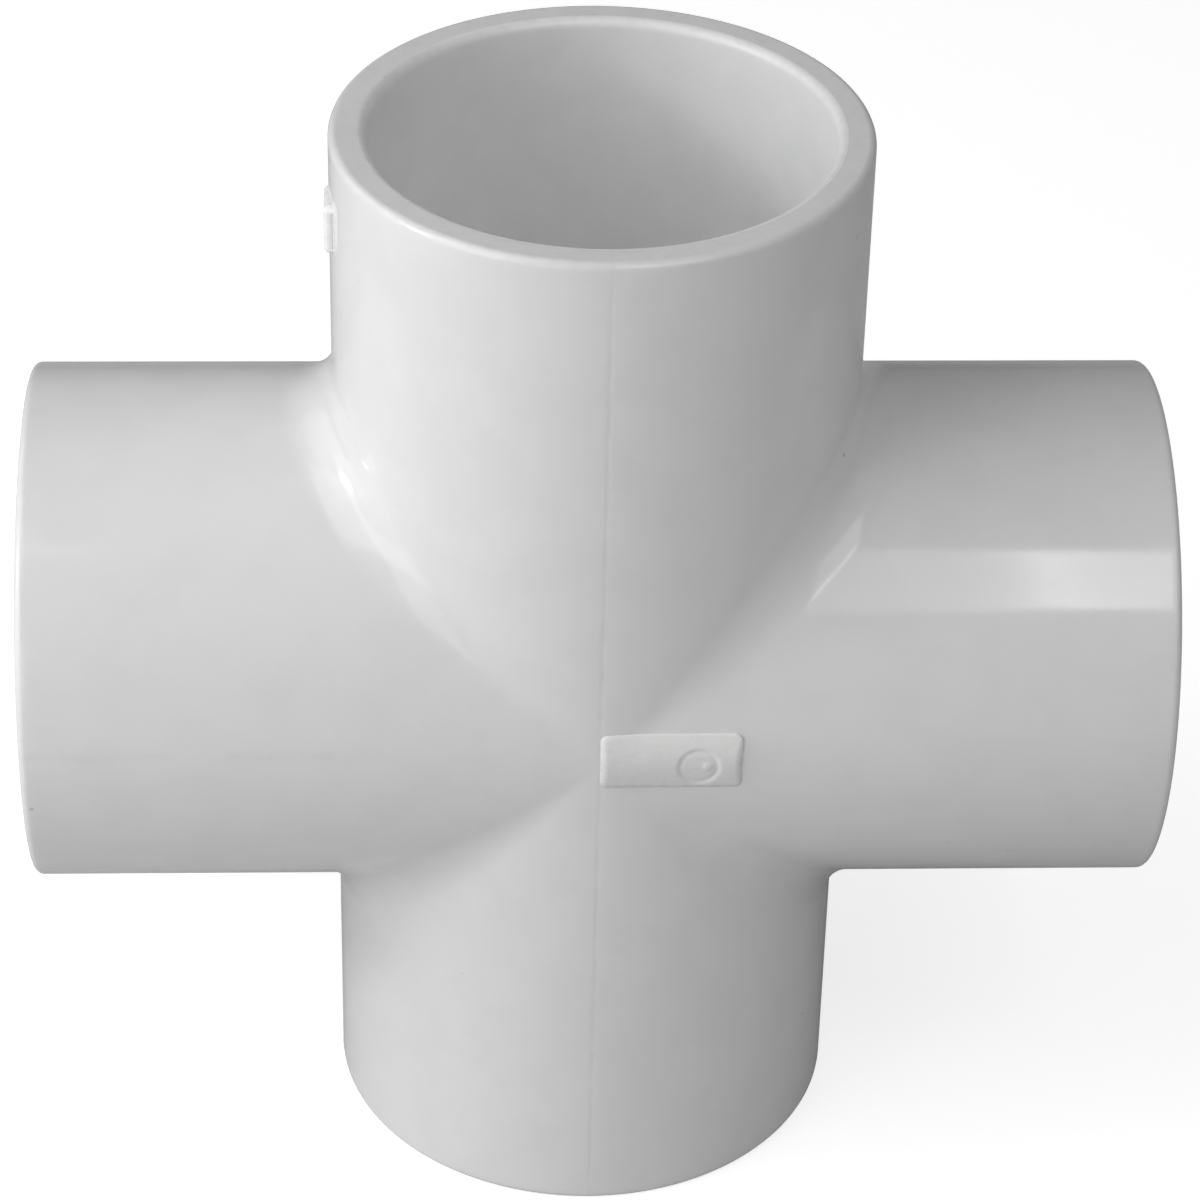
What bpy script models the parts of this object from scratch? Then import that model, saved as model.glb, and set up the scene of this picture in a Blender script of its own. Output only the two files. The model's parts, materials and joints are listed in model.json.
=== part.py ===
"""Solvent-weld cross for 1-1/2 inch plastic pipe: four equal sockets round two crossing bores.

The whole fitting is one moulding, so it is one object. Its origin is where the two bores cross,
one pair of sockets opens along Z and the other along X.
"""

import math

import bmesh
import bpy
from mathutils import Matrix, Vector

MM = 0.001

# The pipe, and how the socket fits it.
PIPE_DIAMETER = 48.26 * MM
MOUTH_LOOSENESS = 0.30 * MM     # the socket's mouth is this much wider than the pipe
SEAT_TIGHTNESS = 0.15 * MM      # its bottom is this much tighter than the pipe
SOCKET_DEPTH = 34.0 * MM

# The body around the sockets.
WALL = 3.92 * MM                # at the mouth, where the socket is widest
STOP_STEP = 3.555 * MM          # how far the pipe stop reaches in from the socket's bottom
STOP_SETBACK = 2.945 * MM       # from the crossing socket's wall out to the pipe stop
RIM_ROUND = 0.8 * MM
MOUTH_ROUND = 1.0 * MM
STOP_ROUND = 0.4 * MM
CROTCH_ROUND = 5.8 * MM         # of the hollow between two arms, where they meet at right angles
FRONT_ROUND = 10.0 * MM         # the same hollow where it fades out, at the front and back

# Two low pads left by the mould, drafted on every side. Both start on a mould parting plane.
PAD_HEIGHT = 0.45 * MM
PAD_DRAFT = 0.42 * MM
PAD_OVERLAP = 0.8 * MM          # how deep a pad's root is sunk into the wall
FRONT_PAD_LENGTH = 15.0 * MM
FRONT_PAD_WIDTH = 6.8 * MM
FRONT_PAD_RISE = 0.85 * MM      # its middle above the level arms' axis
SIDE_PAD_LENGTH = 5.4 * MM
SIDE_PAD_WIDTH = 5.6 * MM
SIDE_PAD_SETBACK = 6.4 * MM     # from the upper face down to the pad

# How finely the round shapes are cut.
SEGMENTS = 64                   # a multiple of 4
ARC_STEPS = 3
CREASE_STEPS = 4
CUTTER_OVERRUN = 2.0 * MM
MERGE = 1e-6
QUARTER_TURN = Matrix(((0, 0, 1), (0, 1, 0), (-1, 0, 0)))  # about Y, with no rounding error

mouth_radius = (PIPE_DIAMETER + MOUTH_LOOSENESS) / 2
seat_radius = (PIPE_DIAMETER - SEAT_TIGHTNESS) / 2
bore_radius = seat_radius - STOP_STEP
arm_radius = mouth_radius + WALL
stop_distance = seat_radius + STOP_SETBACK
face_distance = stop_distance + SOCKET_DEPTH


def clear_scene():
    for obj in list(bpy.data.objects):
        bpy.data.objects.remove(obj, do_unlink=True)


def make_collection(name):
    collection = bpy.data.collections.new(name)
    bpy.context.scene.collection.children.link(collection)
    return collection


def white_pvc():
    material = bpy.data.materials.new("white_pvc")
    material.use_nodes = True
    shader = material.node_tree.nodes["Principled BSDF"]
    shader.inputs["Base Color"].default_value = (0.79, 0.79, 0.78, 1.0)
    shader.inputs["Roughness"].default_value = 0.36
    shader.inputs["Metallic"].default_value = 0.0
    shader.inputs["IOR"].default_value = 1.53
    return material


def arc(centre, radius, start, end):
    """Points from one angle to another, in degrees, in the (radius, height) plane."""
    angles = [math.radians(start + (end - start) * i / ARC_STEPS) for i in range(ARC_STEPS + 1)]
    return [(centre[0] + radius * math.cos(a), centre[1] + radius * math.sin(a)) for a in angles]


def mirrored(upper_half):
    """A whole outline, top to bottom, from the half above the crossing."""
    return upper_half + [(radius, -height) for radius, height in reversed(upper_half)]


def crease_point(angle, share):
    """A point of the rounded hollow between the upper arm and the level arm on the same side.

    A ball rolls in the hollow and touches both walls. `share` runs along its arc, from 0 in the
    middle of the hollow to 1 on the upper arm's wall.
    """
    across, front = math.cos(angle), math.sin(angle)
    ball = CROTCH_ROUND + (FRONT_ROUND - CROTCH_ROUND) * front**4
    middle = (arm_radius + ball) * Vector((across, front, abs(across)))
    upper_wall = Vector((across, front, 0.0))
    level_wall = Vector((0.0, front, abs(across)))
    between = (upper_wall + level_wall).normalized()
    return middle - ball * between.slerp(upper_wall, share, between)


def upper_arm_rows():
    """Rings of points from the hollow up to the rim, and the middle of the end face."""
    angles = [2 * math.pi * i / SEGMENTS for i in range(SEGMENTS)]
    shares = [i / CREASE_STEPS for i in range(CREASE_STEPS + 1)]
    rows = [[crease_point(angle, share) for angle in angles] for share in shares]
    corner = (arm_radius - RIM_ROUND, face_distance - RIM_ROUND)
    for radius, height in arc(corner, RIM_ROUND, 0, 90):
        rows.append([Vector((radius * math.cos(a), radius * math.sin(a), height)) for a in angles])
    return rows


def arms(name, collection):
    """The four arms and the rounded hollows between them as one closed skin, with no bores yet."""
    rows = upper_arm_rows()
    shape = bmesh.new()
    for _ in range(4):
        rows = [[QUARTER_TURN @ point for point in row] for row in rows]
        rings = [[shape.verts.new(point) for point in row] for row in rows]
        for ring, above in zip(rings, rings[1:]):
            for i in range(SEGMENTS):
                k = (i + 1) % SEGMENTS
                shape.faces.new((ring[i], ring[k], above[k], above[i]))
        shape.faces.new(rings[-1])
    bmesh.ops.remove_doubles(shape, verts=shape.verts, dist=MERGE)
    bmesh.ops.triangulate(shape, faces=[face for face in shape.faces if len(face.verts) == 4])
    mesh = bpy.data.meshes.new(name)
    shape.to_mesh(mesh)
    shape.free()
    obj = bpy.data.objects.new(name, mesh)
    collection.objects.link(obj)
    return obj


def bore_outline():
    mouth = (mouth_radius + MOUTH_ROUND, face_distance - MOUTH_ROUND)
    stop = (bore_radius + STOP_ROUND, stop_distance - STOP_ROUND)
    beyond = face_distance + CUTTER_OVERRUN
    half = [(0.0, beyond), (mouth_radius + MOUTH_ROUND, beyond)]
    half += arc(mouth, MOUTH_ROUND, 90, 180)
    half.append((seat_radius, stop_distance))
    half += arc(stop, STOP_ROUND, 90, 180)
    return mirrored(half)


def turned(name, outline, turn, collection):
    """A solid of revolution about its own Z, then turned by a matrix."""
    mesh = bpy.data.meshes.new(name)
    edges = [(i, i + 1) for i in range(len(outline) - 1)]
    mesh.from_pydata([(radius, 0.0, height) for radius, height in outline], edges, [])
    obj = bpy.data.objects.new(name, mesh)
    collection.objects.link(obj)
    obj.matrix_world = turn
    screw = obj.modifiers.new("turn", "SCREW")
    screw.axis = "Z"
    screw.steps = SEGMENTS
    screw.render_steps = SEGMENTS
    screw.use_merge_vertices = True
    screw.merge_threshold = MERGE
    return obj


def raised_pad(name, length, width, up, reach, turn, collection):
    """A low drafted block that starts at the middle of the arm's front and is then swung about Z.

    reach is how far round the arm the pad's furthest edge goes, so that its root meets the wall there.
    """
    sag = arm_radius - math.sqrt(arm_radius**2 - reach**2)
    depth = PAD_HEIGHT + sag + PAD_OVERLAP
    shape = bmesh.new()
    bmesh.ops.create_cube(shape, size=1.0)
    bmesh.ops.scale(shape, vec=(length, width, depth), verts=shape.verts)
    outer = max(shape.faces, key=lambda face: face.calc_center_median().z)
    bmesh.ops.bevel(shape, geom=list(outer.edges), offset=PAD_DRAFT, segments=1, affect="EDGES")
    mesh = bpy.data.meshes.new(name)
    shape.to_mesh(mesh)
    shape.free()
    obj = bpy.data.objects.new(name, mesh)
    collection.objects.link(obj)
    place = Vector((length / 2, depth / 2 - arm_radius - PAD_HEIGHT, up))
    facing = Matrix.Rotation(math.radians(90), 4, "X")
    obj.matrix_world = Matrix.Rotation(turn, 4, "Z") @ Matrix.Translation(place) @ facing
    return obj


def combine(obj, other, operation):
    """Joins or cuts with a helper, which then shows as a wire only."""
    boolean = obj.modifiers.new(other.name, "BOOLEAN")
    boolean.operation = operation
    boolean.solver = "EXACT"
    boolean.object = other
    other.hide_render = True
    other.display_type = "WIRE"


def settle(obj):
    """Replaces the modifiers by the mesh they make, smooth but for its real edges."""
    bpy.context.view_layer.update()
    evaluated = obj.evaluated_get(bpy.context.evaluated_depsgraph_get())
    mesh = bpy.data.meshes.new_from_object(evaluated)
    obj.modifiers.clear()
    obj.data = mesh
    mesh.name = obj.name
    mesh.shade_smooth()
    mesh.set_sharp_from_angle(angle=math.radians(28))


def build():
    clear_scene()
    fitting = make_collection("cross_fitting")
    helpers = make_collection("helpers")
    upright = Matrix.Identity(4)
    level = QUARTER_TURN.to_4x4() @ Matrix.Rotation(math.pi / SEGMENTS, 4, "Z")

    body = arms("cross_body", fitting)
    front_reach = FRONT_PAD_RISE + FRONT_PAD_WIDTH / 2
    front_pad = raised_pad("front_pad", FRONT_PAD_LENGTH, FRONT_PAD_WIDTH,
                           FRONT_PAD_RISE, front_reach, 0.0, helpers)
    side_middle = face_distance - SIDE_PAD_SETBACK - SIDE_PAD_WIDTH / 2
    side_pad = raised_pad("side_pad", SIDE_PAD_LENGTH, SIDE_PAD_WIDTH,
                          side_middle, SIDE_PAD_LENGTH, math.radians(-90), helpers)
    combine(body, front_pad, "UNION")
    combine(body, side_pad, "UNION")

    combine(body, turned("upright_bore", bore_outline(), upright, helpers), "DIFFERENCE")
    combine(body, turned("level_bore", bore_outline(), level, helpers), "DIFFERENCE")
    settle(body)
    body.data.materials.clear()
    body.data.materials.append(white_pvc())


build()
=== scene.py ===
import json
import math

import bmesh
import bpy
import numpy as np
from mathutils import Matrix, Vector

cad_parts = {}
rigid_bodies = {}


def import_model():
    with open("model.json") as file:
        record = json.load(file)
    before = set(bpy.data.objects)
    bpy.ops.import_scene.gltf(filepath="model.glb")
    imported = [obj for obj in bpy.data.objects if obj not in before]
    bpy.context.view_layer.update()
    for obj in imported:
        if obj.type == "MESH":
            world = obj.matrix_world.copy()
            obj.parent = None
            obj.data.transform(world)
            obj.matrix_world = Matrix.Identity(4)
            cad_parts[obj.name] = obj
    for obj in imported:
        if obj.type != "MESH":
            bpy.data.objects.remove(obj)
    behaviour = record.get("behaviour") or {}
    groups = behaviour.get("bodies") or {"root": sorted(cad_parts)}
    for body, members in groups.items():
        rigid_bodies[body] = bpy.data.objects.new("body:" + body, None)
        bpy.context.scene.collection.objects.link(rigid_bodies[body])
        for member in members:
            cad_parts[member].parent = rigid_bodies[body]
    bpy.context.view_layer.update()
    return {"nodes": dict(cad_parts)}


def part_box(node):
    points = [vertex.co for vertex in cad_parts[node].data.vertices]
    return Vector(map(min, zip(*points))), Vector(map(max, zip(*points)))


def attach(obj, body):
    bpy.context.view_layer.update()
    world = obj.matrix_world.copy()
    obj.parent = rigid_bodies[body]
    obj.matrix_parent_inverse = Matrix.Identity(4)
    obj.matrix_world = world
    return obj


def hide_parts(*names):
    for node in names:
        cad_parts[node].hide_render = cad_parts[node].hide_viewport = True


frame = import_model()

mm = 0.001
tiny = 1e-6  # an angle or a sine that counts as zero
bodyLow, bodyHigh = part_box("cross_body")
faceDistance = bodyHigh.z  # from the crossing point to each socket's mouth
armRadius = bodyHigh.y     # outside of the arms, where no pad stands out
print("frame loaded:", len(frame["nodes"]), "node, arms", round(armRadius / mm, 2), "mm in radius")


def gridFaces(rows, columns, closed):
    # cell (i, j) joins rows i and i + 1 with columns j and j + 1, and goes round if the grid is closed
    i, j = np.meshgrid(np.arange(rows - 1), np.arange(columns if closed else columns - 1), indexing="ij")
    k = (j + 1) % columns
    cells = [i * columns + j, i * columns + k, (i + 1) * columns + k, (i + 1) * columns + j]
    return np.stack(cells, -1).reshape(-1, 4)


def smoothStep(low, high, x):
    # 0 below low, 1 above high and 3t^2 - 2t^3 between them
    t = np.clip((x - low) / (high - low), 0.0, 1.0)
    return t * t * (3 - 2 * t)


def unit(v):
    # v / |v| for each row of an array of vectors
    return v / np.linalg.norm(v, axis=-1, keepdims=True)


# The moulded body: an arm's outline turned about its axis, four times over.
bodyValues = {
    "columns": 256,            # round each arm, a multiple of 4
    "crowding": 0.80,          # how much closer the columns stand at the parting lines, 0 to 1
    "mouthRadius": 24.28 * mm,
    "seatRadius": 24.055 * mm,
    "boreRadius": 20.5 * mm,
    "stopDistance": 27.0 * mm,
    "rimRound": 0.8 * mm,
    "mouthRound": 1.0 * mm,
    "seatRound": 0.35 * mm,
    "stopRound": 0.4 * mm,
    "crotchRound": 5.8 * mm,   # of the hollow where two arms meet at right angles
    "frontRound": 10.0 * mm,   # of the same hollow where it fades out, at the front and back
    "boreCreaseRound": 0.5 * mm,
    "partingDepth": 0.020 * mm,
    "partingWidth": 0.22 * mm,
    "partingFade": (3.0 * mm, 1.0 * mm),  # before the mouth, where the parting line starts and ends fading
    "partingReach": 0.95,      # the parting line only shows this far out from the axis, as a share of R
    "waviness": 0.012 * mm,    # how far the wall sinks between its high spots
    "waveLengths": np.array([9.0, 7.0, 17.0, 11.0, 13.0, 10.0]) * mm,
    "wavePhases": (1.1, -0.6),
    "mergeWithin": 0.002 * mm,
    "hollowRows": 17,
    "boreCreaseRows": 6,
    "rimSteps": 6,
    "cornerSteps": 4,
    # where rows stand along a wall, as shares of it: close together beside the rounded edges
    "wallShares": np.concatenate([[0.01, 0.03], np.linspace(0.08, 0.93, 16), [0.97, 0.99, 1.0]]),
    "faceShares": np.array([0.03, 0.97, 1.0]),
    "socketShares": np.array([0.01, 0.04, 0.15, 0.3, 0.45, 0.6, 0.75, 0.9, 0.98, 1.0]),
    "stopShares": np.array([0.04, 0.96, 1.0]),
    "boreShares": np.array([0.02, 0.1, 0.3, 0.5, 0.7, 0.9, 0.98]),
}


def columnAngles(values):
    # u(s) = s + c/2 sin 2s, which crowds the columns at u = 90 and 270 degrees, the parting lines
    s = np.arange(values["columns"]) * 2 * math.pi / values["columns"]
    return s + values["crowding"] / 2 * np.sin(2 * s)


def creaseArc(radius, fillet, u, t):
    # A ball of radius f rolls in the crease of two equal crossing cylinders of radius R.
    # Its middle is c = (R + f)(cos u, sin u, |cos u|), and the surface is c - f n(t), where n turns
    # from nMid, half way between both walls, at t = 0 to this wall's own normal at t = 1.
    cu, su = np.cos(u), np.sin(u)
    middle = (radius + fillet)[:, None] * np.stack([cu, su, np.abs(cu)], -1)
    wall = np.stack([cu, su, np.zeros_like(u)], -1)
    other = np.stack([np.zeros_like(u), su, np.abs(cu)], -1)
    half = unit(wall + other)
    angle = np.arccos(np.clip((wall * half).sum(-1), -1, 1))
    safe = np.maximum(np.sin(angle), tiny)
    t = t[:, None]
    fromHalf = np.where(angle > tiny, np.sin((1 - t) * angle) / safe, 1 - t)
    fromWall = np.where(angle > tiny, np.sin(t * angle) / safe, t)
    normal = unit(fromHalf[..., None] * half + fromWall[..., None] * wall)
    return middle - fillet[:, None] * normal


def profileRows(u, radii, heights):
    # a profile of (r, z) points, or of radii at one height, turned about Z: (r cos u, r sin u, z)
    r = np.reshape(radii, (-1, 1))
    z = np.broadcast_to(np.reshape(heights, (-1, 1)), (len(r), len(u)))
    return np.stack([r * np.cos(u), r * np.sin(u), z], -1)


def tubeRows(u, radius, foot, top, shares):
    # a straight tube from a foot that varies round it: (R cos u, R sin u, foot(u) + (top - foot(u)) share)
    z = foot + (top - foot) * shares[:, None]
    x = np.broadcast_to(radius * np.cos(u), z.shape)
    y = np.broadcast_to(radius * np.sin(u), z.shape)
    return np.stack([x, y, z], -1)


def quarter(centreRadius, centreHeight, radius, start, end, steps):
    # points at equal angles on an arc of the profile, without its first point
    a = np.radians(np.linspace(start, end, steps + 1))[1:]
    return centreRadius + radius * np.cos(a), centreHeight + radius * np.sin(a)


def armGrid(values):
    # One arm along +Z, from its outer hollow over the rim and down into the bore's crease. The
    # hollow's ball has radius f(u) = crotch + (front - crotch) sin^2 u and touches both walls.
    v = values
    u = columnAngles(v)
    steep = np.abs(np.cos(u))
    fillet = v["crotchRound"] + (v["frontRound"] - v["crotchRound"]) * np.sin(u) ** 2
    outerRadius = np.full_like(u, armRadius)
    face, rim, mouth = faceDistance, v["rimRound"], v["mouthRound"]
    rimStart, mouthEnd = armRadius - rim, v["mouthRadius"] + mouth

    outside = [
        creaseArc(outerRadius, fillet, u, np.linspace(0, 1, v["hollowRows"])),
        tubeRows(u, armRadius, (armRadius + fillet) * steep, face - rim, v["wallShares"]),
        profileRows(u, *quarter(rimStart, face - rim, rim, 0, 90, v["rimSteps"])),
        profileRows(u, rimStart + (mouthEnd - rimStart) * v["faceShares"], face),
    ]

    seat, stop, corner = v["seatRadius"], v["stopDistance"], v["seatRound"]
    bore, stopRound, w = v["boreRadius"], v["stopRound"], v["socketShares"]
    boreRadius, inner = np.full_like(u, bore), np.full_like(u, v["boreCreaseRound"])
    cornerStart, edge = seat - corner, bore + stopRound
    socketRadii = v["mouthRadius"] + (seat - v["mouthRadius"]) * w
    socketHeights = face - mouth + (stop + corner - face + mouth) * w
    boreFoot = (bore + inner) * steep
    inside = [
        profileRows(u, *quarter(mouthEnd, face - mouth, mouth, 90, 180, v["rimSteps"])),
        profileRows(u, socketRadii, socketHeights),
        profileRows(u, *quarter(cornerStart, stop + corner, corner, 0, -90, v["cornerSteps"])),
        profileRows(u, cornerStart + (edge - cornerStart) * v["stopShares"], stop),
        profileRows(u, *quarter(edge, stop - stopRound, stopRound, 90, 180, v["cornerSteps"])),
        tubeRows(u, bore, boreFoot, stop - stopRound, 1 - v["boreShares"]),
        creaseArc(boreRadius, inner, u, np.linspace(1, 0, v["boreCreaseRows"])),
    ]

    outside, inside = np.concatenate(outside), np.concatenate(inside)
    return np.concatenate([outside, inside]), len(outside)


def sinkWall(points, values):
    # Each outside point moves in by a (1 + waves) / 2, where waves is the mean of
    # sin(x / l1 + p1) sin(y / l2 + z / l3) and sin(z / l4 + p2) sin(x / l5 - y / l6), and the parting
    # lines x = 0, y = +-R by d exp(-(x / w)^2). Both depend on the place only, so the arms still meet.
    x, y, z = points[..., 0], points[..., 1], points[..., 2]
    l1, l2, l3, l4, l5, l6 = values["waveLengths"]
    p1, p2 = values["wavePhases"]
    waves = (np.sin(x / l1 + p1) * np.sin(y / l2 + z / l3)
             + np.sin(z / l4 + p2) * np.sin(x / l5 - y / l6)) / 2
    wave = values["waviness"] * (1 + waves) / 2
    line = values["partingDepth"] * np.exp(-(x / values["partingWidth"]) ** 2)
    start, end = (faceDistance - before for before in values["partingFade"])
    line = line * (np.abs(y) > values["partingReach"] * armRadius) * (1 - smoothStep(start, end, np.abs(z)))
    outward = np.where((np.abs(z) >= np.abs(x))[..., None], points * [1, 1, 0], points * [0, 1, 1])
    return points - unit(outward) * (wave + line)[..., None]


def bodySurface(values):
    # the four arms are one grid turned about Y by 0, 90, 180 and 270 degrees
    grid, outsideRows = armGrid(values)
    rows, columns = grid.shape[:2]
    x, y, z = grid[..., 0], grid[..., 1], grid[..., 2]
    arms = [np.stack(turned, -1) for turned in ((x, y, z), (z, y, -x), (-x, y, -z), (-z, y, x))]
    outer = np.arange(rows) < outsideRows - len(values["faceShares"])  # the flat end face doesn't sink
    arms = [np.where(outer[:, None, None], sinkWall(arm, values), arm) for arm in arms]
    points = np.concatenate([arm.reshape(-1, 3) for arm in arms])
    faces = gridFaces(rows, columns, True)
    faces = np.concatenate([faces + k * rows * columns for k in range(4)])
    # finish 0 outside, and finish 1 from the mouth's rounded edge inward
    finish = np.repeat((np.arange(rows - 1) >= outsideRows - 1).astype(int), columns)
    return points, faces, np.tile(finish, 4)


# The two low pads, each a sheet of heights over a rounded rectangle. Only the front one bears a mark.
padEdgeShares = np.array([0.0, 0.04, 0.2, 0.4, 0.6, 0.8, 0.95, 1.1, 1.35, 1.7])  # of the draft
padMiddleDepth = 1.2  # of the underside, as a share of the depth at its edge
frontPadValues = {
    "length": 15.0 * mm, "width": 6.8 * mm, "rise": 0.85 * mm,
    "height": 0.45 * mm, "draft": 0.42 * mm, "corner": 0.75 * mm, "edgeRound": 0.40 * mm,
    "sink": 0.75 * mm, "crown": 12.0 * mm, "crownStart": -0.3 * mm, "spacing": 0.13 * mm,
    "crownEnd": 0.45, "crownReach": 4.5 * mm,
    "markPlace": (10.4 * mm, -0.55 * mm), "markRadius": 2.05 * mm,
    "markGroove": 0.10 * mm, "markWidth": 0.28 * mm, "dish": 0.13 * mm,
    "nibPlace": (11.35 * mm, -0.45 * mm), "nibRadius": 0.50 * mm, "nibHeight": 0.13 * mm,
}
sidePadValues = {
    "length": 5.4 * mm, "width": 5.6 * mm,
    "rise": faceDistance - 9.2 * mm,  # its upper edge is 6.4 mm below the mouth
    "height": 0.45 * mm, "draft": 0.42 * mm, "corner": 0.75 * mm, "edgeRound": 0.10 * mm,
    "sink": 0.95 * mm, "crown": 60.0 * mm, "crownStart": 0.0, "spacing": 0.20 * mm,
    "crownEnd": 1.0, "crownReach": 1.0 * mm,
}


def padStations(length, draft, spacing):
    # close together over the drafted edge and evenly spaced between
    edge = padEdgeShares * draft
    count = int(round((length - 4 * draft) / spacing))
    return np.concatenate([edge, np.linspace(2 * draft, length - 2 * draft, count), length - edge[::-1]])


def padMark(a, b, values):
    # a groove round a shallow dish: -g exp(-(ring / w)^2) - dish inside the ring, + nib exp(-n^4)
    v = values
    ring = np.hypot(a - v["markPlace"][0], b - v["markPlace"][1]) - v["markRadius"]
    nib = np.hypot(a - v["nibPlace"][0], b - v["nibPlace"][1]) / v["nibRadius"]
    groove = v["markGroove"] * np.exp(-(ring / v["markWidth"]) ** 2)
    dish = v["dish"] * (1 - smoothStep(-v["markWidth"], v["markWidth"], ring))
    return v["nibHeight"] * np.exp(-nib ** 4) - groove - dish


def padSurface(values):
    # h(a, b) is the smaller of the crowned top and the drafted side, and a fan closes it below
    v = values
    a = padStations(v["length"], v["draft"], v["spacing"])
    b = padStations(v["width"], v["draft"], v["spacing"]) - v["width"] / 2
    b, a = np.meshgrid(b, a, indexing="ij")
    # distance inside the rounded rectangle: d = r - |max(q, 0)| - min(max(qa, qb), 0), q = |p| - half + r
    qa = np.abs(a - v["length"] / 2) - v["length"] / 2 + v["corner"]
    qb = np.abs(b) - v["width"] / 2 + v["corner"]
    d = v["corner"] - np.hypot(np.maximum(qa, 0), np.maximum(qb, 0)) - np.minimum(np.maximum(qa, qb), 0)
    # the top is crowned about b0, less so at its first end: top = h - s(a) (b - b0)^2 / 2R
    fade = v["crownEnd"] + (1 - v["crownEnd"]) * smoothStep(0.0, v["crownReach"], a)
    top = v["height"] - fade * (b - v["crownStart"]) ** 2 / (2 * v["crown"])
    if "markPlace" in v:
        top = top + padMark(a, b, v)
    # the side rises at 45 degrees and meets the top in a smooth minimum with round k
    side = d + v["height"] - v["draft"]
    k = v["edgeRound"]
    share = np.clip(0.5 + (top - side) / (2 * k), 0, 1)
    h = top * (1 - share) + side * share - k * share * (1 - share)
    h = np.where(d <= padEdgeShares[1] / 2 * v["draft"], -v["sink"], h)  # the outermost points are the root
    rows, columns = h.shape
    points = np.stack([a, b + v["rise"], h], -1).reshape(-1, 3)
    index = np.arange(rows * columns).reshape(rows, columns)
    rim = np.concatenate([index[0, :-1], index[:-1, -1], index[-1, :0:-1], index[:0:-1, 0]])
    # the underside is a fan from one point a little below the middle
    points = np.concatenate([points, [[v["length"] / 2, v["rise"], -padMiddleDepth * v["sink"]]]])
    fan = np.stack([np.full(len(rim), rows * columns), np.roll(rim, -1), rim], -1)
    return points, gridFaces(rows, columns, False), fan


def frontPlace(points):
    # onto the front of the crossing: (a, b, h) to (a, -R - h, b)
    return np.stack([points[:, 0], -armRadius - points[:, 2], points[:, 1]], -1)


def sidePlace(points):
    # onto the left side of the upper arm: (a, b, h) to (-R - h, -a, b)
    return np.stack([-armRadius - points[:, 2], -points[:, 0], points[:, 1]], -1)


def buildBody():
    # one mesh of the body and both pads, whose roots sink into the wall, with finish 2 on the pads
    points, faces, finish = bodySurface(bodyValues)
    facesList, finishList = faces.tolist(), finish.tolist()
    for values, place in ((frontPadValues, frontPlace), (sidePadValues, sidePlace)):
        padPoints, padFaces, fan = padSurface(values)
        start = len(points)
        points = np.concatenate([points, place(padPoints)])
        facesList += (padFaces + start).tolist() + (fan + start).tolist()
        finishList += [2] * (len(padFaces) + len(fan))
    mesh = bpy.data.meshes.new("crossBody")
    mesh.from_pydata(points.tolist(), [], facesList)
    mesh.polygons.foreach_set("material_index", np.array(finishList, np.int32))
    merged = bmesh.new()
    merged.from_mesh(mesh)
    bmesh.ops.remove_doubles(merged, verts=merged.verts, dist=bodyValues["mergeWithin"])
    merged.to_mesh(mesh)
    merged.free()
    mesh.shade_smooth()
    piece = bpy.data.objects.new("crossBody", mesh)
    bpy.context.scene.collection.objects.link(piece)
    print("body:", len(mesh.vertices), "points,", len(mesh.polygons), "faces")
    return piece


# Finishes. Every length in these values is in millimetres, and Position is in Object coordinates.
finishValues = {
    "mouldedPvc": {
        "colour": (0.790, 0.790, 0.788, 1.0), "cloudColour": (0.742, 0.744, 0.748, 1.0),
        "cloudSize": 7.0, "cloudAmount": 0.42, "speckColour": (0.36, 0.34, 0.31, 1.0),
        "speckSpacing": 6.5, "speckRadius": 0.38, "speckShare": 0.26, "speckAmount": 0.42,
        "roughness": 0.095, "cloudRoughness": 0.03,
        "peelSize": 2.6, "peelHeight": 0.0030, "grainSize": 0.34, "grainHeight": 0.0004,
    },
    "corePvc": {
        "colour": (0.845, 0.846, 0.848, 1.0), "cloudColour": (0.800, 0.803, 0.808, 1.0),
        "cloudSize": 5.0, "cloudAmount": 0.50, "speckColour": (0.42, 0.40, 0.37, 1.0),
        "speckSpacing": 5.5, "speckRadius": 0.30, "speckShare": 0.25, "speckAmount": 0.35,
        "roughness": 0.30, "cloudRoughness": 0.08,
        "peelSize": 1.8, "peelHeight": 0.0030, "grainSize": 0.30, "grainHeight": 0.0012,
    },
    "padPvc": {
        "colour": (0.760, 0.760, 0.759, 1.0), "cloudColour": (0.735, 0.736, 0.739, 1.0),
        "cloudSize": 2.2, "cloudAmount": 0.45, "speckColour": (0.45, 0.43, 0.40, 1.0),
        "speckSpacing": 3.0, "speckRadius": 0.20, "speckShare": 0.20, "speckAmount": 0.30,
        "roughness": 0.25, "cloudRoughness": 0.08,
        "peelSize": 1.2, "peelHeight": 0.0030, "grainSize": 0.26, "grainHeight": 0.0012,
    },
}
plasticIor = 1.53
patternValues = {
    "cloudLow": 0.38, "cloudHigh": 0.66, "speckSoftness": 0.3,
    "lineGapSize": 3.2, "lineGapLow": 0.30, "lineGapHigh": 0.62,
    "scuffGapSize": 1.1, "scuffGapLow": 0.46, "scuffGapHigh": 0.66,
    "ringGapSize": 6.0, "ringGapLow": 0.4, "ringGapHigh": 0.7,
}
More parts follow.
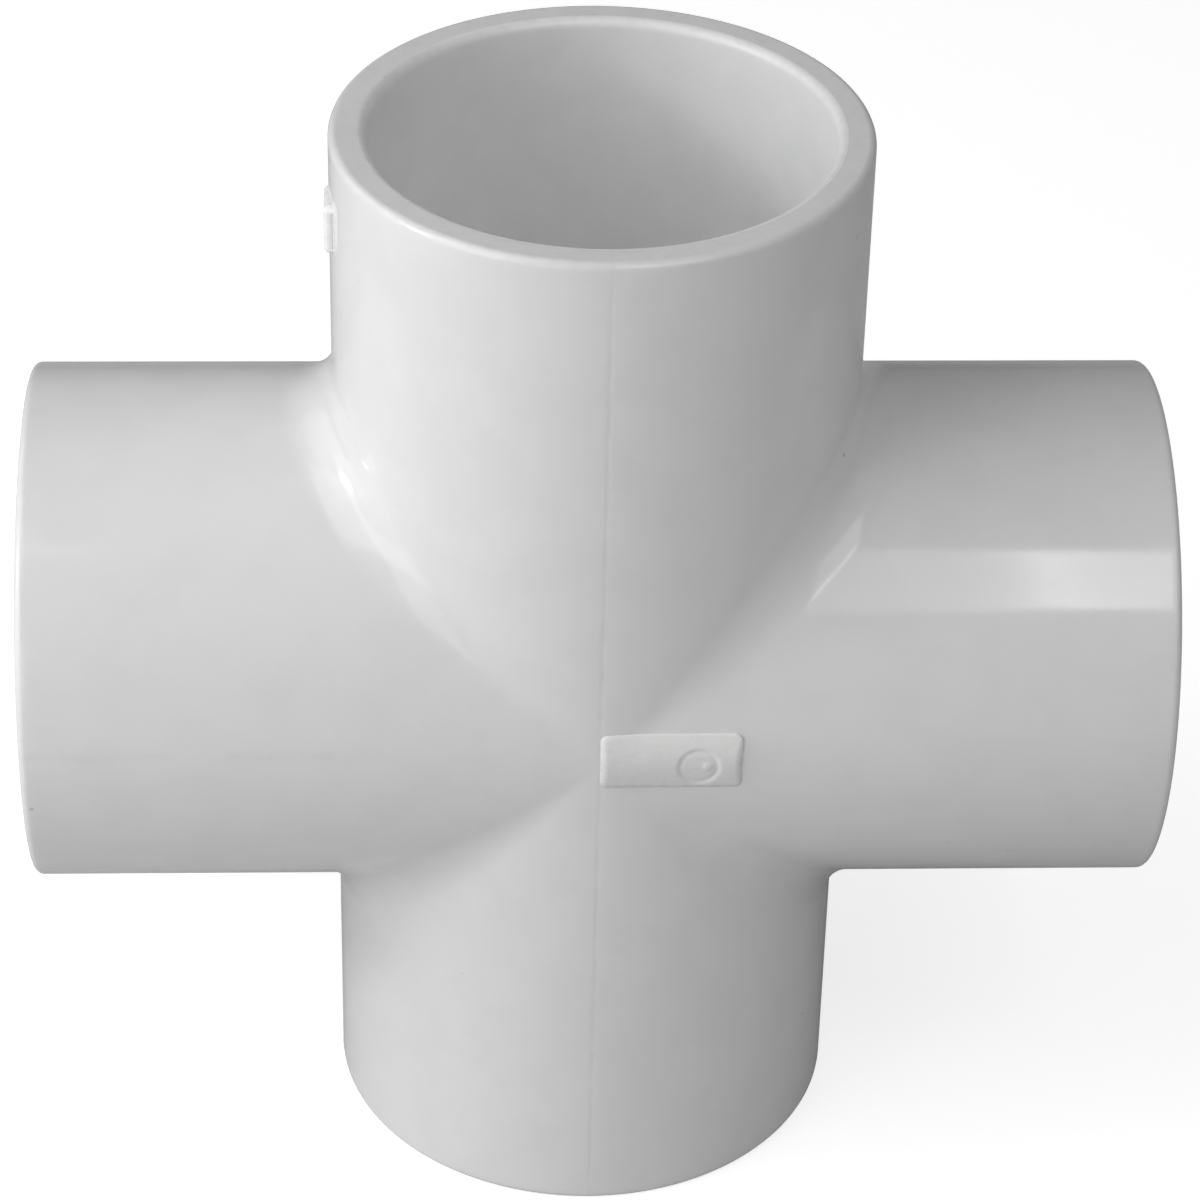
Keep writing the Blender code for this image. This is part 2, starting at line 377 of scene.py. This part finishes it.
markValues = {
    "partingColour": (0.655, 0.657, 0.662, 1.0), "partingWidth": 0.24, "partingAmount": 0.38,
    "flowColour": (0.690, 0.692, 0.696, 1.0), "flowHeight": 1.6, "flowWidth": 0.55, "flowAmount": 0.38,
    "scuffColour": (0.700, 0.700, 0.695, 1.0), "scuffDepth": 1.3, "scuffAmount": 0.30,
    "scuffRoughness": 0.14, "drawSize": 0.55, "drawStretch": 0.02, "drawHeight": 0.0035,
    # painted light: the pads' pale colour below, with the two heights where it starts and where it is full,
    # makes the pads paler upward, standing in for light on their tilted tops
    "turningPitch": 0.62, "turningHeight": 0.0012, "paintedLightColour": (0.865, 0.865, 0.860, 1.0),
    "paintedLightFrom": -1.2, "paintedLightTo": 4.4,
    # where the flow line comes in: how far left and how far forward, in shares of the arm's radius
    "flowLeft": (0.6, 1.0), "flowForward": (0.8, 0.95),
}


def addNode(tree, kind, sockets=None, **settings):
    # one node with its settings, and each input socket linked or given its value
    node = tree.nodes.new("ShaderNode" + kind)
    for name, value in settings.items():
        setattr(node, name, value)
    for socket, value in (sockets or {}).items():
        if isinstance(value, bpy.types.NodeSocket):
            tree.links.new(value, node.inputs[socket])
        else:
            node.inputs[socket].default_value = value
    return node


def calc(tree, operation, *values):
    # one step of arithmetic
    return addNode(tree, "Math", dict(enumerate(values)), operation=operation).outputs[0]


def ramp(tree, value, low, high):
    # 0 at low, 1 at high and smooth between them
    sockets = {"Value": value, "From Min": low, "From Max": high}
    return addNode(tree, "MapRange", sockets, interpolation_type="SMOOTHSTEP").outputs["Result"]


def newGroup(name, inputs, outputs):
    # an empty group with its inputs as (name, kind) and its outputs as (name, kind)
    tree = bpy.data.node_groups.new(name, "ShaderNodeTree")
    for side, sockets in (("INPUT", inputs), ("OUTPUT", outputs)):
        for label, kind in sockets:
            tree.interface.new_socket(name=label, in_out=side, socket_type="NodeSocket" + kind)
    return tree, tree.nodes.new("NodeGroupInput").outputs, tree.nodes.new("NodeGroupOutput").inputs


def noiseOf(tree, position, size, detail):
    # noise whose lumps are about `size` millimetres across
    sockets = {"Vector": position, "Scale": calc(tree, "DIVIDE", 1 / mm, size), "Detail": detail}
    return addNode(tree, "TexNoise", sockets).outputs[0]


def cloudGroup():
    # mask = smooth step of noise(p / size) from Low to High
    tree, given, made = newGroup(
        "clouds", [("Position", "Vector"), ("Size", "Float"), ("Low", "Float"), ("High", "Float")],
        [("Mask", "Float")])
    noise = noiseOf(tree, given["Position"], given["Size"], 3.0)
    tree.links.new(ramp(tree, noise, given["Low"], given["High"]), made["Mask"])
    return tree


def speckGroup():
    # a round dot at the middle of some cells: mask = (cell's own number > 1 - share) times a soft disc
    tree, given, made = newGroup(
        "specks", [("Position", "Vector"), ("Spacing", "Float"), ("Radius", "Float"), ("Share", "Float")],
        [("Mask", "Float")])
    scale = calc(tree, "DIVIDE", 1 / mm, given["Spacing"])
    cells = addNode(tree, "TexVoronoi", {"Vector": given["Position"], "Scale": scale})
    number = addNode(tree, "SeparateColor", {"Color": cells.outputs["Color"]}).outputs[0]
    chosen = calc(tree, "GREATER_THAN", calc(tree, "ADD", number, given["Share"]), 1.0)
    reach = calc(tree, "DIVIDE", given["Radius"], given["Spacing"])
    solid = calc(tree, "MULTIPLY", reach, patternValues["speckSoftness"])
    disc = ramp(tree, cells.outputs["Distance"], reach, solid)
    tree.links.new(calc(tree, "MULTIPLY", chosen, disc), made["Mask"])
    return tree


def grainGroup():
    # height = PeelHeight noise(p / PeelSize) + GrainHeight noise(p / GrainSize)
    tree, given, made = newGroup(
        "mouldGrain", [("Position", "Vector"), ("PeelSize", "Float"), ("PeelHeight", "Float"),
                       ("GrainSize", "Float"), ("GrainHeight", "Float")], [("Height", "Float")])
    broad = noiseOf(tree, given["Position"], given["PeelSize"], 1.0)
    fine = noiseOf(tree, given["Position"], given["GrainSize"], 2.0)
    peel = calc(tree, "MULTIPLY", broad, given["PeelHeight"])
    grain = calc(tree, "MULTIPLY", fine, given["GrainHeight"])
    tree.links.new(calc(tree, "ADD", peel, grain), made["Height"])
    return tree


def lineGroup():
    # mask = exp(-(across / width)^2), broken up by noise so that the line fades in and out
    tree, given, made = newGroup(
        "thinLine", [("Position", "Vector"), ("Across", "Float"), ("Width", "Float")], [("Mask", "Float")])
    share = calc(tree, "DIVIDE", given["Across"], calc(tree, "MULTIPLY", given["Width"], mm))
    bell = calc(tree, "EXPONENT", calc(tree, "MULTIPLY", calc(tree, "MULTIPLY", share, share), -1.0))
    noise = noiseOf(tree, given["Position"], patternValues["lineGapSize"], 3.0)
    broken = ramp(tree, noise, patternValues["lineGapLow"], patternValues["lineGapHigh"])
    tree.links.new(calc(tree, "MULTIPLY", bell, broken), made["Mask"])
    return tree


def scuffGroup():
    # mask = smooth step of the place along the arm, max(|x|, |z|), near the rim, times fine clouds
    tree, given, made = newGroup(
        "rimScuffs", [("Position", "Vector"), ("Face", "Float"), ("Depth", "Float")], [("Mask", "Float")])
    part = addNode(tree, "SeparateXYZ", {"Vector": given["Position"]}).outputs
    along = calc(tree, "MAXIMUM", calc(tree, "ABSOLUTE", part["X"]), calc(tree, "ABSOLUTE", part["Z"]))
    start = calc(tree, "SUBTRACT", given["Face"], calc(tree, "MULTIPLY", given["Depth"], mm))
    near = ramp(tree, along, start, given["Face"])
    noise = noiseOf(tree, given["Position"], patternValues["scuffGapSize"], 4.0)
    broken = ramp(tree, noise, patternValues["scuffGapLow"], patternValues["scuffGapHigh"])
    tree.links.new(calc(tree, "MULTIPLY", near, broken), made["Mask"])
    return tree


def drawGroup():
    # marks of the core pulled out along each arm: noise stretched along it, and fine turned rings
    # sin(2 pi a / pitch), with a = max(|x|, |z|), that come and go
    tree, given, made = newGroup(
        "coreMarks", [("Position", "Vector"), ("Size", "Float"), ("Stretch", "Float"), ("Height", "Float"),
                      ("Pitch", "Float"), ("RingHeight", "Float")], [("Height", "Float")])
    part = addNode(tree, "SeparateXYZ", {"Vector": given["Position"]}).outputs
    sideways, upward = calc(tree, "ABSOLUTE", part["X"]), calc(tree, "ABSOLUTE", part["Z"])
    upright = calc(tree, "GREATER_THAN", upward, sideways)
    shrink = calc(tree, "SUBTRACT", 1.0, given["Stretch"])
    acrossX = calc(tree, "MULTIPLY_ADD", upright, shrink, given["Stretch"])
    acrossZ = calc(tree, "SUBTRACT", 1.0, calc(tree, "MULTIPLY", upright, shrink))
    place = addNode(tree, "CombineXYZ", {"X": calc(tree, "MULTIPLY", part["X"], acrossX), "Y": part["Y"],
                                         "Z": calc(tree, "MULTIPLY", part["Z"], acrossZ)}).outputs[0]
    scratches = calc(tree, "MULTIPLY", noiseOf(tree, place, given["Size"], 3.0), given["Height"])
    pitch = calc(tree, "MULTIPLY", given["Pitch"], mm)
    turns = calc(tree, "DIVIDE", calc(tree, "MAXIMUM", sideways, upward), pitch)
    wave = calc(tree, "SINE", calc(tree, "MULTIPLY", turns, 2 * math.pi))
    noise = noiseOf(tree, given["Position"], patternValues["ringGapSize"], 1.0)
    broken = ramp(tree, noise, patternValues["ringGapLow"], patternValues["ringGapHigh"])
    faint = calc(tree, "MULTIPLY", broken, given["RingHeight"])
    tree.links.new(calc(tree, "MULTIPLY_ADD", wave, faint, scratches), made["Height"])
    return tree


def addGroup(tree, group, **sockets):
    # a group's node; each keyword goes to the input of that name with a capital first letter
    node = addNode(tree, "Group", node_tree=group)
    for label, value in sockets.items():
        socket = node.inputs[label[0].upper() + label[1:]]
        if isinstance(value, bpy.types.NodeSocket):
            tree.links.new(value, socket)
        else:
            socket.default_value = value
    return node.outputs[0]


def blend(tree, amount, first, second):
    # (1 - amount) first + amount second
    return addNode(tree, "Mix", {0: amount, 6: first, 7: second}, data_type="RGBA").outputs[2]


def plastic(name, groups, marks):
    # base colour, then clouds, specks and the marks of this surface; the same masks vary the gloss
    v = finishValues[name]
    material = bpy.data.materials.new(name)
    material.use_nodes = True
    tree = material.node_tree
    position = addNode(tree, "TexCoord").outputs["Object"]
    clouds = addGroup(tree, groups["clouds"], position=position, size=v["cloudSize"],
                      low=patternValues["cloudLow"], high=patternValues["cloudHigh"])
    specks = addGroup(tree, groups["specks"], position=position, spacing=v["speckSpacing"],
                      radius=v["speckRadius"], share=v["speckShare"])
    height = addGroup(tree, groups["grain"], position=position, peelSize=v["peelSize"],
                      peelHeight=v["peelHeight"], grainSize=v["grainSize"], grainHeight=v["grainHeight"])
    colour = blend(tree, calc(tree, "MULTIPLY", clouds, v["cloudAmount"]), v["colour"], v["cloudColour"])
    colour = blend(tree, calc(tree, "MULTIPLY", specks, v["speckAmount"]), colour, v["speckColour"])
    roughness = calc(tree, "MULTIPLY_ADD", clouds, v["cloudRoughness"], v["roughness"])
    colour, roughness, height = marks(tree, groups, position, colour, roughness, height)
    bump = addNode(tree, "Bump", {"Height": height, "Distance": mm, "Strength": 1.0})
    shader = tree.nodes["Principled BSDF"]
    shader.inputs["IOR"].default_value = plasticIor
    tree.links.new(colour, shader.inputs["Base Color"])
    tree.links.new(roughness, shader.inputs["Roughness"])
    tree.links.new(bump.outputs["Normal"], shader.inputs["Normal"])
    return material


def scuffed(tree, groups, position, colour):
    # the colour with the rim's scuffs on it, and the scuffs' mask
    m = markValues
    scuffs = addGroup(tree, groups["scuffs"], position=position, face=faceDistance, depth=m["scuffDepth"])
    amount = calc(tree, "MULTIPLY", scuffs, m["scuffAmount"])
    return blend(tree, amount, colour, m["scuffColour"]), scuffs


def outsideMarks(tree, groups, position, colour, roughness, height):
    # the parting line on x = 0, a flow line low on the left arm's front, and scuffs at the rims
    m = markValues
    part = addNode(tree, "SeparateXYZ", {"Vector": position}).outputs
    parting = addGroup(tree, groups["line"], position=position, across=part["X"], width=m["partingWidth"])
    amount = calc(tree, "MULTIPLY", parting, m["partingAmount"])
    colour = blend(tree, amount, colour, m["partingColour"])
    across = calc(tree, "SUBTRACT", part["Z"], m["flowHeight"] * mm)
    flow = addGroup(tree, groups["line"], position=position, across=across, width=m["flowWidth"])
    leftFrom, leftTo = (-share * armRadius for share in m["flowLeft"])
    frontFrom, frontTo = (-share * armRadius for share in m["flowForward"])
    side = calc(tree, "MULTIPLY", ramp(tree, part["X"], leftFrom, leftTo), m["flowAmount"])
    place = calc(tree, "MULTIPLY", side, ramp(tree, part["Y"], frontFrom, frontTo))
    colour = blend(tree, calc(tree, "MULTIPLY", flow, place), colour, m["flowColour"])
    colour, scuffs = scuffed(tree, groups, position, colour)
    return colour, calc(tree, "MULTIPLY_ADD", scuffs, m["scuffRoughness"], roughness), height


def coreMarks(tree, groups, position, colour, roughness, height):
    # the core's draw marks and turned rings in the sockets and bores, and scuffs at their mouths
    m = markValues
    marks = addGroup(tree, groups["draw"], position=position, size=m["drawSize"], stretch=m["drawStretch"],
                     height=m["drawHeight"], pitch=m["turningPitch"], ringHeight=m["turningHeight"])
    return scuffed(tree, groups, position, colour)[0], roughness, calc(tree, "ADD", height, marks)


def padMarks(tree, groups, position, colour, roughness, height):
    # painted light: the colour turns paler towards the front pad's upper edge, standing in for light on its
    # upward-tilted top; the side pad, which stands higher, is painted paler all over
    m = markValues
    part = addNode(tree, "SeparateXYZ", {"Vector": position}).outputs
    paintedLightMask = ramp(tree, part["Z"], m["paintedLightFrom"] * mm, m["paintedLightTo"] * mm)
    return blend(tree, paintedLightMask, colour, m["paintedLightColour"]), roughness, height


cameraValues = {
    "azimuth": -2.75, "elevation": 34.74, "roll": 1.36,  # degrees
    "distance": 0.4712, "clip": (0.01, 50.0),            # metres
    "lens": 127.6, "sensor": 36.0,                       # millimetres
    "shift": (0.0076, 0.0131),
}
stageValues = {
    "floorSize": 12.0, "floorColour": 0.58, "floorRoughness": 0.9,
    "floorGlow": 0.7, "ambient": 0.17, "backdrop": 1.0,
}
lightValues = {
    # azimuth round from the front, elevation and turn in degrees, distance and size in metres, power in watts
    "keyLight": {"azimuth": -79.0, "elevation": 24.0, "turn": 0.0,
                 "distance": 0.6, "size": (0.07, 0.07), "power": 0.38},
    "sideLight": {"azimuth": -68.0, "elevation": 9.0, "turn": 0.0,
                  "distance": 0.45, "size": (0.45, 0.32), "power": 0.55},
    "wallLight": {"azimuth": -98.0, "elevation": 28.0, "turn": 0.0,
                  "distance": 0.45, "size": (0.45, 0.35), "power": 0.40},
    "leftLight": {"azimuth": -61.0, "elevation": 46.0, "turn": 0.0,
                  "distance": 0.6, "size": (0.42, 0.50), "power": 0.95},
    "lowLight": {"azimuth": -34.0, "elevation": 10.0, "turn": 0.0,
                 "distance": 0.6, "size": (0.45, 0.28), "power": 0.42},
    "rightLight": {"azimuth": 62.0, "elevation": 40.0, "turn": 0.0,
                   "distance": 1.8, "size": (1.6, 1.3), "power": 2.4},
    "topLight": {"azimuth": 0.0, "elevation": 88.0, "turn": 0.0,
                 "distance": 1.6, "size": (2.0, 2.0), "power": 1.7},
    "windowLight": {"azimuth": 28.0, "elevation": 46.0, "turn": -20.0,
                    "distance": 1.2, "size": (0.62, 0.60), "power": 1.40},
    "paneLight": {"azimuth": 16.65, "elevation": 48.5, "turn": -12.0,
                  "distance": 1.2, "size": (0.018, 0.52), "power": 0.30},
    "edgePaneLight": {"azimuth": 19.3, "elevation": 47.3, "turn": -14.0,
                      "distance": 1.2, "size": (0.014, 0.50), "power": 0.11},
}


def directionOf(azimuth, elevation):
    # (sin a cos e, -cos a cos e, sin e), so that azimuth 0 is the front
    a, e = math.radians(azimuth), math.radians(elevation)
    return Vector((math.sin(a) * math.cos(e), -math.cos(a) * math.cos(e), math.sin(e)))


def facing(back, roll=0.0):
    # a turn whose Z axis is `back`, with its X axis level before the roll
    right = Vector((0, 0, 1)).cross(back).normalized()
    up = back.cross(right)
    c, s = math.cos(math.radians(roll)), math.sin(math.radians(roll))
    return Matrix((c * right + s * up, c * up - s * right, back)).transposed().to_4x4()


def makeCamera(values):
    # a camera that looks at the crossing point
    data = bpy.data.cameras.new("camera")
    data.sensor_width = values["sensor"]
    data.lens = values["lens"]
    data.shift_x, data.shift_y = values["shift"]
    data.clip_start, data.clip_end = values["clip"]
    camera = bpy.data.objects.new("camera", data)
    bpy.context.scene.collection.objects.link(camera)
    back = directionOf(values["azimuth"], values["elevation"])
    camera.matrix_world = Matrix.Translation(back * values["distance"]) @ facing(back, values["roll"])
    bpy.context.scene.camera = camera


def makeLights(values):
    # rectangular lights that face the crossing point
    for name, v in values.items():
        data = bpy.data.lights.new(name, "AREA")
        data.shape = "RECTANGLE"
        data.size, data.size_y = v["size"]
        data.energy = v["power"]
        light = bpy.data.objects.new(name, data)
        bpy.context.scene.collection.objects.link(light)
        back = directionOf(v["azimuth"], v["elevation"])
        light.matrix_world = Matrix.Translation(back * v["distance"]) @ facing(back, v["turn"])
        light.visible_camera = False


def makeFloor(values):
    # a flat square under the fitting, which glows for the camera only
    half = values["floorSize"] / 2
    mesh = bpy.data.meshes.new("floor")
    corners = [(-half, -half), (half, -half), (half, half), (-half, half)]
    mesh.from_pydata([(x, y, bodyLow.z) for x, y in corners], [], [(0, 1, 2, 3)])
    floor = bpy.data.objects.new("floor", mesh)
    bpy.context.scene.collection.objects.link(floor)
    material = bpy.data.materials.new("paleFloor")
    material.use_nodes = True
    nodes, links = material.node_tree.nodes, material.node_tree.links
    shader = nodes["Principled BSDF"]
    grey = values["floorColour"]
    shader.inputs["Base Color"].default_value = (grey, grey, grey, 1)
    shader.inputs["Roughness"].default_value = values["floorRoughness"]
    shader.inputs["Specular IOR Level"].default_value = 0.0
    glow = nodes.new("ShaderNodeEmission")
    glow.inputs["Strength"].default_value = values["floorGlow"]
    path = nodes.new("ShaderNodeLightPath")
    seen = nodes.new("ShaderNodeMixShader")
    both = nodes.new("ShaderNodeAddShader")
    links.new(path.outputs["Is Camera Ray"], seen.inputs["Fac"])
    links.new(glow.outputs["Emission"], seen.inputs[2])
    links.new(shader.outputs["BSDF"], both.inputs[0])
    links.new(seen.outputs["Shader"], both.inputs[1])
    links.new(both.outputs["Shader"], nodes["Material Output"].inputs["Surface"])
    mesh.materials.append(material)


def makeWorld(values):
    # a soft even light all round, and a brighter backdrop that only the camera sees
    world = bpy.data.worlds.new("studio")
    bpy.context.scene.world = world
    world.use_nodes = True
    nodes, links = world.node_tree.nodes, world.node_tree.links
    soft = nodes["Background"]
    soft.inputs["Strength"].default_value = values["ambient"]
    soft.inputs["Color"].default_value = (1, 1, 1, 1)
    bright = nodes.new("ShaderNodeBackground")
    bright.inputs["Strength"].default_value = values["backdrop"]
    bright.inputs["Color"].default_value = (1, 1, 1, 1)
    path = nodes.new("ShaderNodeLightPath")
    choose = nodes.new("ShaderNodeMixShader")
    links.new(path.outputs["Is Camera Ray"], choose.inputs["Fac"])
    links.new(soft.outputs["Background"], choose.inputs[1])
    links.new(bright.outputs["Background"], choose.inputs[2])
    links.new(choose.outputs["Shader"], nodes["World Output"].inputs["Surface"])


makeCamera(cameraValues)
makeLights(lightValues)
makeFloor(stageValues)
makeWorld(stageValues)
view = bpy.context.scene.view_settings
view.view_transform, view.look, view.exposure, view.gamma = "Standard", "None", 0.0, 1.0
bpy.context.scene.cycles.use_denoising = True
print("stage: camera, lights and floor are placed")

crossBody = buildBody()
groups = {"clouds": cloudGroup(), "specks": speckGroup(), "grain": grainGroup(),
          "line": lineGroup(), "scuffs": scuffGroup(), "draw": drawGroup()}
for name, marks in (("mouldedPvc", outsideMarks), ("corePvc", coreMarks), ("padPvc", padMarks)):
    crossBody.data.materials.append(plastic(name, groups, marks))
print("finishes:", len(finishValues), "materials from", len(groups), "groups")
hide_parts("cross_body")
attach(crossBody, "root")
